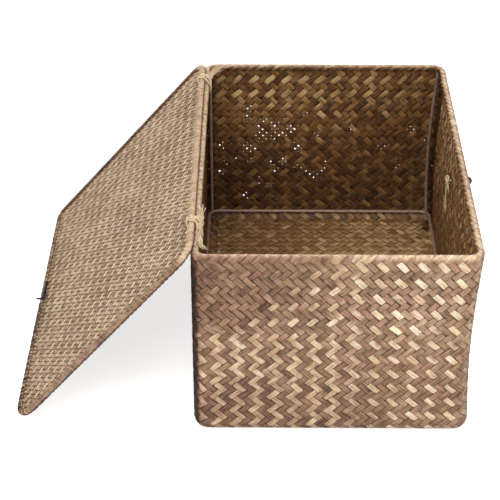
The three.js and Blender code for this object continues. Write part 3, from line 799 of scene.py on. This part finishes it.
# Flat plaits: the floor and the lid's panel.
def flat_strips(side, section, keep, place, tone_of, pitch, reach, height, thick, flecks, full):
    """Strips of a flat plait at half a right angle. A strip's middle keeps one number on its own
    family's axis; it is laid only where keep says, in as many runs as that leaves."""
    grids, grains, tones, strands, rims = [], [], [], [], []
    half = int(reach / pitch) + 1
    run = np.arange(-half * 3, half * 3 + 1) / 3
    for number in range(-half, half):
        width = full - 0.06 * random.random() ** 2 + 0.02 * waves(run[None], 1, (4, 11))[0]
        drift = 0.04 * waves(run[None], 1, (9, 23))[0]
        across = number + 0.5 + drift[:, None] + 0.5 * width[:, None] * section[:, 0]
        x = (across + run[:, None]) * pitch / math.sqrt(2)
        y = side * (run[:, None] - across) * pitch / math.sqrt(2)
        middle_x, middle_y = x[:, :2].mean(axis=1), y[:, :2].mean(axis=1)
        phase = run - number if side > 0 else number + 1 - run
        way = over_and_under(phase, 1.0) * side
        level = height * way[:, None] + thick / 2 * section[:, 1]
        tone = tone_of(middle_x, middle_y, side, number)
        tone = tone + 0.04 * random.standard_normal() + 0.05 * waves(run[None], 1, (5, 17))[0]
        # Painted shade along the strip's sides and where it dives under at its floats' ends.
        rim = np.maximum(np.abs(section[:, 0]), (1.15 - 0.75 * np.abs(way))[:, None])
        fleck = random.random(half + 2) ** 3
        tone = tone + flecks * fleck[((phase + 2 * half) // 4).astype(int) % (half + 2)]
        strand = random.random() * strand_range
        inside = np.concatenate([[False], keep(middle_x, middle_y), [False]])
        edges = np.flatnonzero(np.diff(inside.astype(int)))
        for start, end in zip(edges[::2], edges[1::2]):
            if end - start < 2:
                continue
            cut = slice(start, end)
            shape = x[cut].shape
            grids.append(place(x[cut], y[cut], level[cut]))
            grains.append(grain_at((section[:, 0] + 1) / 2, run[cut, None] * pitch, shape))
            tones.append(np.broadcast_to(tone[cut, None], shape).ravel())
            strands.append(np.full(shape[0] * shape[1], strand))
            rims.append(rim[cut].ravel())
    return grids, *(np.concatenate(part) for part in (grains, tones, strands, rims))


def on_floor(x, y):
    """Inside the bottom edge's round, and a little short of it."""
    margin = bottom_radius + 0.5
    return (np.abs(x) < -low[0] - margin) & (np.abs(y) < high[1] - margin)


def floor_place(x, y, level):
    """The floor's points: as they lie, with the right side drawn in as the wall's foot is."""
    return np.stack([drawn_in(x, np.zeros_like(x)), y, floor_high - level], axis=-1)


def floor_tone(x, y, side, number):
    """Every second strip is paler, and the floor is paler to the right."""
    return (0.64 if number % 2 == 0 else 0.54) + 0.14 * smooth((x + 60) / 120)


floor_pitch = girth / wall_strip_count * math.sin(math.pi / 4)
families = ((1, "one_way"), (-1, "other_way"))
for side, word in families:
    grids, grain, tone, strand, rim = flat_strips(
        side, strip_section, on_floor, floor_place, floor_tone,
        pitch=floor_pitch, reach=235, height=0.45, thick=0.8, flecks=0.12, full=1.05,
    )
    inner = np.tile(inner_face, len(tone) // len(inner_face))
    build(
        f"floor_strips_{word}", grids, seagrass, "basket", "plaited_strip", None, grain,
        tone=tone, strand=strand, inner=inner, rim=rim,
    )


# Lid.
def from_lid(points):
    """A point of the lid in the basket's frame: turned about the hinge's axis, which runs along
    Y, by the angle at which the lid stands open."""
    x, y, z = points[..., 0], points[..., 1], points[..., 2]
    across = hinge_x + x * math.cos(lid_turn) - z * math.sin(lid_turn)
    up = hinge_z + x * math.sin(lid_turn) + z * math.cos(lid_turn)
    return np.stack([across, y, up], axis=-1)


def askew(x, y):
    """Where a point of the lid's plan has gone: the hand-made lid is a little smaller than its
    frame was bent for, and its front and rear edges lean to the rear towards the free edge."""
    shorter, narrower, to_front, lean = 4.2, 0.983, 4.6, 5.6
    return x - shorter * x / lid_length, y * narrower - to_front + lean * x / lid_length


def from_mat(spot, height):
    """A point of the lid's mat or edge, in its own plan, in the basket's frame."""
    x, y = askew(spot[..., 0], spot[..., 1])
    return from_lid(np.stack([x, y, np.broadcast_to(height, x.shape)], axis=-1))


lid_outline = rounded_outline(
    -lid_roll, lid_length + lid_roll, -lid_half_depth, lid_half_depth, (32, 10, 20, 20)
)
lid_middle = lid_length / 2


def on_panel(x, y):
    """Inside the lid's edge band, clear of the slots for the ties and the black cord's holes."""
    x = x + lid_middle
    edge = 6.0
    left, right = -lid_roll + edge, lid_length + lid_roll - edge
    inside = (x > left) & (x < right) & (np.abs(y) < lid_half_depth - edge)
    for centre, radius in zip(lid_outline["centre"], lid_outline["radius"]):
        past = ((x - centre[0]) * np.sign(centre[0] - lid_middle) > 0) & (
            (y - centre[1]) * np.sign(centre[1]) > 0
        )
        inside &= ~past | (np.hypot(x - centre[0], y - centre[1]) < radius - edge)
    x, y = askew(x, y)
    slot = (x < 6.6) & (np.abs(np.abs(y) - tie_reach) < 3.6)
    to_hole = np.minimum(np.abs(y - front_hole), np.abs(y - rear_hole))
    return inside & ~slot & ~((np.abs(x - 255) < 1.6) & (to_hole < 1.6))


def panel_place(x, y, level):
    """The panel's points: in the lid's plan from its middle, with the inner face up."""
    return from_mat(np.stack([x + lid_middle, y], axis=-1), -level)


def panel_tone(x, y, side, number):
    """Every second strip of the one family is pale; the panel darkens towards the free edge."""
    drift = 0.06 * np.sin(x / 31 + y / 47) + 0.05 * np.sin(x / 13 - y / 21)
    own = (0.46, 0.38) if side > 0 else (0.88, 0.48)
    return own[number % 2] + 0.6 * drift - 0.08 * smooth((x - 85) / 30)


fine_section = np.array([(-1, 0), (-0.6, 0.7), (0, 1), (0.6, 0.7), (1, 0), (0, -1)])
for side, word in families:
    grids, *numbers = flat_strips(
        side, fine_section, on_panel, panel_place, panel_tone,
        pitch=4.8, reach=250, height=0.6, thick=1.1, flecks=0.22, full=0.95,
    )
    half = len(grids) // 2
    split = sum(len(grid) for grid in grids[:half]) * len(fine_section)
    parts = (grids[:half], slice(split)), (grids[half:], slice(split, None))
    for part, (runs, cut) in enumerate(parts):
        grain, tone, strand, rim = (values[cut] for values in numbers)
        node = "lid_mat" if side > 0 and part == 0 else None
        build(
            f"lid_panel_strips_{word}_{part + 1}", runs, fine_seagrass, "lid", "lid_strip",
            node, grain, tone=tone, strand=strand, inner=0, rim=rim,
        )


# The lid's edge: a strip folded round the wire, and a fibre that is overcast round it.
def edge_side(way):
    """How much a place on the lid's outline belongs to the free edge, the front, the rear and
    the hinge edge, from the outward direction there."""
    out = on_outline(lid_outline, way, 0) - on_outline(lid_outline, way, 1)
    return np.maximum(
        np.stack([out[..., 0], -out[..., 1], out[..., 1], -out[..., 0]], axis=-1), 0
    )


def side_by_side(count, *parts):
    """The parts next to each other in count rows. A part is a column, one row or one number."""
    parts = [np.atleast_2d(part) for part in parts]
    return np.hstack([np.broadcast_to(part, (count, part.shape[1])) for part in parts])


def lid_band():
    """The folded strip: a closed profile carried round the outline, its two lips on the panel's
    faces and a half circle between them. The lips' ends wander a little. Its outer half at the
    front and the hinge edge is darker, painted shade."""
    stations, inner_radius, lip_thick = 420, 1.8, 0.5
    lip_reach, lip_outside, lip_inside = 6.6, 2.2, 1.5
    way = np.linspace(0, lid_outline["marks"][-1], stations, endpoint=False)[:, None]
    turn = np.radians(np.linspace(-90, 90, 11))
    lip = lip_reach + 0.35 * waves(way[:, 0], 1, (31, 73, 127)).T
    outer_in = lid_roll - lid_roll * np.cos(turn)
    outer_up = lid_roll * np.sin(turn)
    inner_in = lid_roll - inner_radius * np.cos(turn[::-1])
    inner_up = inner_radius * np.sin(turn[::-1])
    inset = side_by_side(
        stations, lip, outer_in, lip, lip - lip_thick, inner_in, lip - lip_thick
    )
    height = side_by_side(
        stations, -lip_outside, outer_up, lip_outside, lip_inside, inner_up, -lip_inside
    )
    spot = on_outline(lid_outline, way, inset)
    side = edge_side(way[:, 0])
    tone = side @ np.array([0.5, 0.42, 0.2, 0.64]) + 0.1 * waves(way[:, 0], 1, (23, 51))[0]
    painted_outer_shade = 0.36 * side[:, 1:2] + 0.5 * side[:, 3:]
    tone = tone[:, None] - painted_outer_shade * smooth((height - 0.4) / 1.6)
    build(
        "lid_edge_strip", [from_mat(spot, height)], edge_strip, "lid", "lid_binding",
        "lid_edge_binding",
        grain_at(np.linspace(0, 3, inset.shape[1]), way, inset.shape),
        closed=True, tone=tone, strand=0, inner=0, rim=0,
    )


def lid_overcast():
    """Turns of the overcast fibre: each a flat strip that goes from the inner face round the
    edge's half circle to the outer face, and a little along the edge on the way. At the free edge
    the turns are wide and dark, in its rear half every second one. Their outer part at the front
    and the hinge edge is darker, painted shade."""
    count, total = 256, lid_outline["marks"][-1]
    reach, end_length, clear = 5.9, 1.2, lid_roll + 0.05
    start = (np.arange(count) + 0.15 * random.standard_normal(count)) * total / count
    turn = np.radians(np.linspace(-90, 90, 9))
    ends = reach + 0.5 * random.standard_normal((count, 2))
    first, last = ends[:, :1], ends[:, 1:]
    round_in = lid_roll - clear * np.cos(turn)
    inset = side_by_side(count, first, first - end_length, round_in, last - end_length, last)
    height = side_by_side(count, -2.5, -3.05, clear * np.sin(turn), 2.75, 2.2)
    stations = inset.shape[1]
    side = edge_side(start)
    middle = on_outline(lid_outline, start, 0)
    in_front = middle[:, 1:] < 5
    dark_turn = side[:, :1] * np.maximum(np.arange(count)[:, None] % 2, in_front)
    shift = np.linspace(2.6, -2.6, stations) * (1 - 1.9 * side[:, :1])
    section = np.array([(-1, 0), (-0.5, 0.8), (0.5, 0.8), (1, 0), (0.5, -0.6), (-0.5, -0.6)])
    half = 0.95 + 0.4 * dark_turn[..., None] + 0.15 * random.standard_normal((count, 1, 1))
    way = start[:, None, None] + shift[:, :, None] + half * section[:, 0]
    slope_in = np.gradient(inset, axis=1)
    slope_up = np.gradient(height, axis=1)
    size = np.hypot(slope_in, slope_up)
    out_in, out_up = -slope_up / size, slope_in / size
    sign = -np.sign(np.sum(out_in[:, 4:8], axis=1, keepdims=True))
    grow = np.ones((stations, 1))
    grow[[0, -1]] = 0
    lift = 0.45 * section[:, 1] * (0.4 + 0.6 * grow) * (1 + 0.6 * dark_turn[..., None])
    inset = inset[..., None] + (out_in * sign)[..., None] * lift
    height = height[..., None] + (out_up * sign)[..., None] * lift
    spot = on_outline(lid_outline, way, inset)
    points = from_mat(spot, height)
    tone = side @ np.array([0.55, 0.5, 0.6, 0.72]) - 0.75 * dark_turn[:, 0]
    tone = tone + 0.05 * random.standard_normal(count)
    painted_outer_shade = 0.45 * side[:, 1:2] + 0.55 * side[:, 3:]
    tone = tone[:, None] - painted_outer_shade * smooth((height.mean(axis=-1) - 0.2) / 1.8)
    under_tie = np.abs(np.abs(askew(*middle.T)[1]) - tie_reach) < 6
    kept = ~(under_tie & (side[:, 3] > 0.5))
    along = np.linspace(0, 22, stations)[:, None]
    build(
        "lid_edge_overcast", list(points[kept]), edge_strip, "lid", "lid_binding", None,
        grain_at((section[:, 0] + 1) / 2, along, way[kept].shape),
        tone=tone[kept][..., None],
        strand=random.random((kept.sum(), 1, 1)) * strand_range,
        inner=0,
        rim=np.maximum(np.abs(section[:, 0]), 0.97 * dark_turn[kept][..., None]),
    )


def lid_wire():
    """The wire inside the edge: a circle carried round the outline."""
    stations, radius = 240, 1.5
    way = np.linspace(0, lid_outline["marks"][-1], stations, endpoint=False)[:, None]
    circle = radius * toward(ring_angles(10))
    spot = on_outline(lid_outline, way, lid_roll - circle[:, 0])
    build(
        "lid_edge_wire", [from_mat(spot, circle[:, 1])], painted_wire, "lid", "frame_wire",
        "lid_frame_ring", closed=True,
    )


lid_band()
lid_overcast()
lid_wire()


# Hinge ties.
tie_cord, knot_cord, end_cord = 2.2, 1.9, 1.7
rim_reach = roll_radius + seat + tie_cord / 2
edge_reach = lid_roll + seat + tie_cord / 2
edge_middle = np.array([hinge_x, hinge_z])
rim_middle = np.array([hinge_x + roll_radius, roll_height])


def tie_winding(along):
    """Two turns of a belt round the lid's roll and the rim's roll, a cord and a half millimetre
    along them each turn: an arc on each roll and a straight leg on each side between them."""
    apart = rim_middle - edge_middle
    distance = np.hypot(*apart)
    base = math.atan2(apart[1], apart[0])
    slant = math.asin((rim_reach - edge_reach) / distance)
    leg = math.sqrt(distance**2 - (rim_reach - edge_reach) ** 2)
    lid_half = edge_reach * (math.pi / 2 - slant)
    rim_arc = rim_reach * (math.pi + 2 * slant)
    marks = np.cumsum([0, lid_half, leg, rim_arc, leg, lid_half])
    turns = np.linspace(0, 2, 97)
    way = np.mod(turns * marks[-1], marks[-1] * (1 + 1e-9))
    first, last = base + math.pi / 2 + slant, base - math.pi / 2 - slant

    def on_lid(angle):
        return edge_middle + edge_reach * toward(angle)

    def on_rim(angle):
        return rim_middle + rim_reach * toward(angle)

    def straight(one, other, start):
        share = ((way - start) / leg)[:, None]
        return one * (1 - share) + share * other

    parts = [
        on_lid(base + math.pi - way / edge_reach),
        straight(on_lid(first), on_rim(first), marks[1]),
        on_rim(first - (way - marks[2]) / rim_reach),
        straight(on_rim(last), on_lid(last), marks[3]),
        on_lid(last - (way - marks[4]) / edge_reach),
    ]
    stretch = np.clip(np.searchsorted(marks, way, side="right") - 1, 0, 4)[:, None]
    spot = np.select([stretch == k for k in range(5)], parts)
    y = along + (turns - 1) * (tie_cord + 0.5)
    return np.stack([spot[:, 0], y, spot[:, 1]], axis=1)


def knot_route(reach, height, turned):
    """A trefoil knot laid flat about the origin: in plan the sum of a circle and a wider circle
    run the other way twice as fast, rising and falling three times."""
    angle = np.linspace(0, 2 * np.pi, 61)
    x = np.sin(angle) + 2 * np.sin(2 * angle)
    y = np.cos(angle) - 2 * np.cos(2 * angle)
    c, s = math.cos(turned), math.sin(turned)
    spot = np.stack([c * x - s * y, s * x + c * y], axis=1) * reach / 3
    return np.column_stack([spot, height * -np.sin(3 * angle)])


fibre_step = 1.2
top_of_fibres = 210.9


def frayed(points, count, spread, thickness, width=0.0):
    """A cord's end teased out into fibres: each starts beside the curve through the points
    within a width and follows it, and its distance from it grows with the square of the way
    along, in a direction of its own."""
    route = resampled(curve_through(points), fibre_step)
    part = (lengths_along(route) / lengths_along(route)[-1])[:, None]
    radius = thickness / 2 * (1 - 0.7 * part)
    grids = []
    for _ in range(count):
        lean = random.standard_normal(3) * spread
        curl = random.standard_normal(3) * (0.35 + 0.4 * width)
        start = random.standard_normal(3) * width * (1, 1, 0.3)
        path = route + start + lean * part**2 + curl * np.sin(part * 9 + random.random() * 6)
        path[:, 2] = np.minimum(path[:, 2], top_of_fibres)
        section = radius[..., None] * toward(ring_angles(5))
        grids.append(carried(path, (0.3, 0.5, 0.81), section))
    return grids


def grained(grids):
    """Each thin fibre with its grain: round it and along it, from a start of its own."""
    parts = []
    for grid in grids:
        stations, ring = grid.shape[:2]
        along = np.arange(stations)[:, None] * fibre_step + 60 * random.random()
        parts.append((grid, grain_at(np.linspace(0, 1, ring), along, (stations, ring))))
    return parts


def twine_piece(name, parts, finish, body, slot, node=None):
    """One piece of several cords and fibres, each a grid and its grain."""
    grids, grains = zip(*parts)
    return build(name, list(grids), finish, body, slot, node, np.concatenate(grains))


def hinge_tie(name, node, along, turned, tuft):
    """The winding, the knot on top of the lid's roll, its two ends down the inside of the rim,
    and the ends teased out. The fibres that lie on the rim are a piece of their own."""
    top = np.array([hinge_x + 1, along, hinge_z + lid_roll + seat + tie_cord])
    beside = hinge_x + 2 * roll_radius + seat + 0.9
    parts = [
        twined(tie_winding(along), tie_cord, (0, 1, 0), sides=10),
        twined(top + knot_route(3.1, 1.0, turned), knot_cord, (0, 0, 1), sides=8),
    ]
    loose = []
    for spread in (-2.3, 2.3):
        points = [
            top,
            ((top[0] + beside) / 2, along + spread / 2, top[2]),
            (beside, along + spread, top[2] - 7),
            (beside, along + spread, top[2] - 14),
        ]
        parts.append(twined(curve_through(points), end_cord, (0, 1, 0), sides=8))
        lowest = (beside, along + 1.3 * spread, top[2] - 19)
        loose += frayed(points[2:] + [lowest], count=7, spread=0.9, thickness=0.5)
    twine_piece(name, parts + grained(loose), pale_twine, "basket", "fibre_cord", node)
    loose = []
    for points in tuft:
        loose += frayed(points, count=15, spread=1.5, thickness=0.85, width=1.3)
    fibres = twine_piece(
        name.replace("twine", "fibres"), grained(loose), pale_twine, "basket", "fibre_cord"
    )
    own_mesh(fibres)


rear_tuft = [
    [(-125, 150, 205), (-123.5, 164, 202.6), (-120.5, 177, 201.4), (-115, 185, 201),
     (-109, 189, 200.6)],
    [(-125, 156, 203), (-122, 169, 201.8), (-118, 179, 201), (-112, 187, 200.8)],
]
front_tuft = [
    [(-124.5, -146, 204), (-124, -130, 203), (-123.4, -116, 202.5)],
    [(-125, -150, 204), (-124.5, -160, 203.4), (-124, -172, 202.4)],
    [(-125, -172, 202.6), (-124.4, -182, 202.2), (-121.5, -190, 202)],
]
hinge_tie("hinge_tie_rear_twine", "hinge_tie_rear", tie_reach, 0.4, rear_tuft)
hinge_tie("hinge_tie_front_twine", "hinge_tie_front", -tie_reach, 1.1, front_tuft)


# Toggle, its cord and knot.
def toggle_peg():
    """The turned peg: radii at places along it, turned round its axis, which lies along X. It
    has a flange at the wall, a waist for the loop, two fine beads and a domed head."""
    base = 129.67
    places = np.array(
        [0, 0.02, 0.2, 1.2, 2.1, 2.35, 3.2, 4.2, 5.4, 6.8, 8.2, 8.8, 9.6, 10.4, 11.0, 11.2, 11.5,
         13, 14.8, 16.3, 17.5, 18.4, 19.0, 19.25, 19.3]
    )
    radii = np.array(
        [1.3, 3.9, 4.3, 4.5, 4.4, 4.0, 3.1, 2.6, 2.5, 2.5, 2.8, 3.4, 4.0, 4.3, 4.35, 4.1, 4.35,
         4.4, 4.38, 4.05, 3.45, 2.6, 1.5, 0.7, 0.05]
    )
    circle = radii[:, None, None] * toward(ring_angles(28))
    x = np.broadcast_to((base + places)[:, None], circle.shape[:2])
    grid = np.stack([x, toggle_y + circle[..., 0], toggle_z + circle[..., 1]], axis=-1)
    build("toggle_peg", [grid], turned_wood, "toggle", "dark_wood", "toggle_button", crease=35)


def toggle_knot():
    """The cord's knot inside the wall, its stem through the wall to the peg, and a short end."""
    middle = np.array([knot_x, toggle_y, toggle_z])
    knot = middle + knot_route(4.6, 1.1, 0.5)[:, [2, 0, 1]]
    stem = [(x, toggle_y, toggle_z) for x in (122.5, 126, 130.5)]
    short = [middle, middle + (0, -4.6, -2), middle + (0.5, -8.9, -5.3)]
    down = [middle, middle + (0.3, 0.2, -2), (knot_x, toggle_y, 141.6)]
    parts = [
        twined(knot, 2.4, (1, 0, 0), sides=8),
        twined(curve_through(stem), knot_cord, (0, 1, 0), sides=8),
        twined(curve_through(short), end_cord, (1, 0, 0), sides=8),
        twined(curve_through(down), end_cord, (0, 1, 0), sides=8),
    ]
    short_end = [middle + (0.3, -7.6, -4.4), middle + (0.6, -9.3, -6.3), middle + (0.7, -10.2, -8)]
    hanging_end = [(123.2, 35.2, 123), (123, 35.9, 115), (122.8, 36.4, 107)]
    loose = frayed(short_end, count=8, spread=0.5, thickness=0.45)
    loose += frayed(hanging_end, count=14, spread=1.1, thickness=0.5, width=0.6)
    parts += grained(loose)
    twine_piece("toggle_cord_knot", parts, pale_twine, "basket", "fibre_cord", "toggle_cord")


def edge_cord():
    """The black cord at the free edge: up through one hole, along the edge on the inner face and
    back down the other hole, with a knot and a cut end at the front."""

    def leg(y, inward):
        return [
            (hole_line, y, lid_roll),
            (hole_line, y, -lid_roll / 2),
            (hole_line - 0.6, y + inward * 0.5, -3.3),
            (hole_line - 2.4, y + inward * 2.4, -4.1),
        ]

    middle = np.array([hole_line - 2.3, 10.4, -4.0])
    droop = lid_turn - math.pi
    level = np.array([math.cos(droop), 0, -math.sin(droop)])
    bent = middle + (1.0, -1.2, 0)
    tail = [middle, bent + 2.4 * level, bent + (0, 0.4, 0) + 7.2 * level]
    beyond = [(hole_line - 2.4, 27, -4.2), (hole_line - 2.4, 16, -4.2), (hole_line - 2.8, 6, -3.9)]
    lines = (
        (curve_through(leg(front_hole, 1) + leg(rear_hole, -1)[::-1]), 2.7),
        (middle + knot_route(1.9, 0.7, 0.9), 2.2),
        (curve_through(tail), 2.4),
        (curve_through(beyond), 2.9),
    )
    parts = [twined(from_lid(line), width, (0.2, 0.3, 0.93), sides=8) for line, width in lines]
    twine_piece("closure_edge_cord", parts, black_twine, "lid", "black_cord", "closure_staple")


toggle_peg()
toggle_knot()
edge_cord()

# Wires keep the model's own solids.
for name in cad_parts:
    if name.startswith("frame"):
        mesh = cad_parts[name].data
        mesh.materials.clear()
        mesh.materials.append(painted_wire)


# Room: floor, lamps and white surroundings.
white = (1, 1, 1, 1)


def light_room():
    """White to the camera, and dimmer to what it lights."""
    world = bpy.data.worlds.new("studio")
    world.use_nodes = True
    tree = world.node_tree
    tree.nodes.clear()
    rays = add_node(tree, "ShaderNodeLightPath", {})
    either = {0: rays["Is Camera Ray"], 1: rays["Is Transmission Ray"]}
    seen = add_node(tree, "ShaderNodeMath", either, operation="MAXIMUM")[0]
    dim, bright = (
        add_node(tree, "ShaderNodeBackground", {"Color": white, "Strength": strength})[0]
        for strength in (0.6, 1.0)
    )
    picked = add_node(tree, "ShaderNodeMixShader", {0: seen, 1: dim, 2: bright})[0]
    add_node(tree, "ShaderNodeOutputWorld", {0: picked})
    bpy.context.scene.world = world
    bpy.context.scene.view_settings.view_transform = "Standard"


def lamp(name, place, size, power):
    """A square lamp, turned to the basket's middle."""
    data = bpy.data.lights.new(name, "AREA")
    data.size = size
    data.energy = power
    aim = Vector((0, 0, 0.1)) - Vector(place)
    turn = aim.to_track_quat("-Z", "Y").to_matrix().to_4x4()
    placed(name, data).matrix_world = Matrix.Translation(place) @ turn


def lay_ground():
    """A wide pale floor. What the camera sees of it is lifted to white, less the shadow."""
    finish = Finish("pale_ground", roughness=0.9, specular=0.1)
    rays = add_node(finish.tree, "ShaderNodeLightPath", {})
    glow = finish.math("MULTIPLY", rays["Is Camera Ray"], 0.72)
    finish.shader.inputs["Base Color"].default_value = (0.85, 0.85, 0.85, 1)
    finish.shader.inputs["Emission Color"].default_value = white
    finish.tree.links.new(glow, finish.shader.inputs["Emission Strength"])
    mesh = bpy.data.meshes.new("ground")
    mesh.from_pydata([(-8, -8, 0), (8, -8, 0), (8, 8, 0), (-8, 8, 0)], [], [(0, 1, 2, 3)])
    mesh.materials.append(finish.material)
    ground = placed("ground", mesh)
    ground.location.z = -0.0004


light_room()
lay_ground()
lamp("key", (-0.6, -1.9, 2.3), size=1.6, power=40)
lamp("fill", (1.8, -1.2, 1.4), size=1.8, power=16)
lamp("top", (0.0, 0.4, 2.6), size=1.6, power=14)
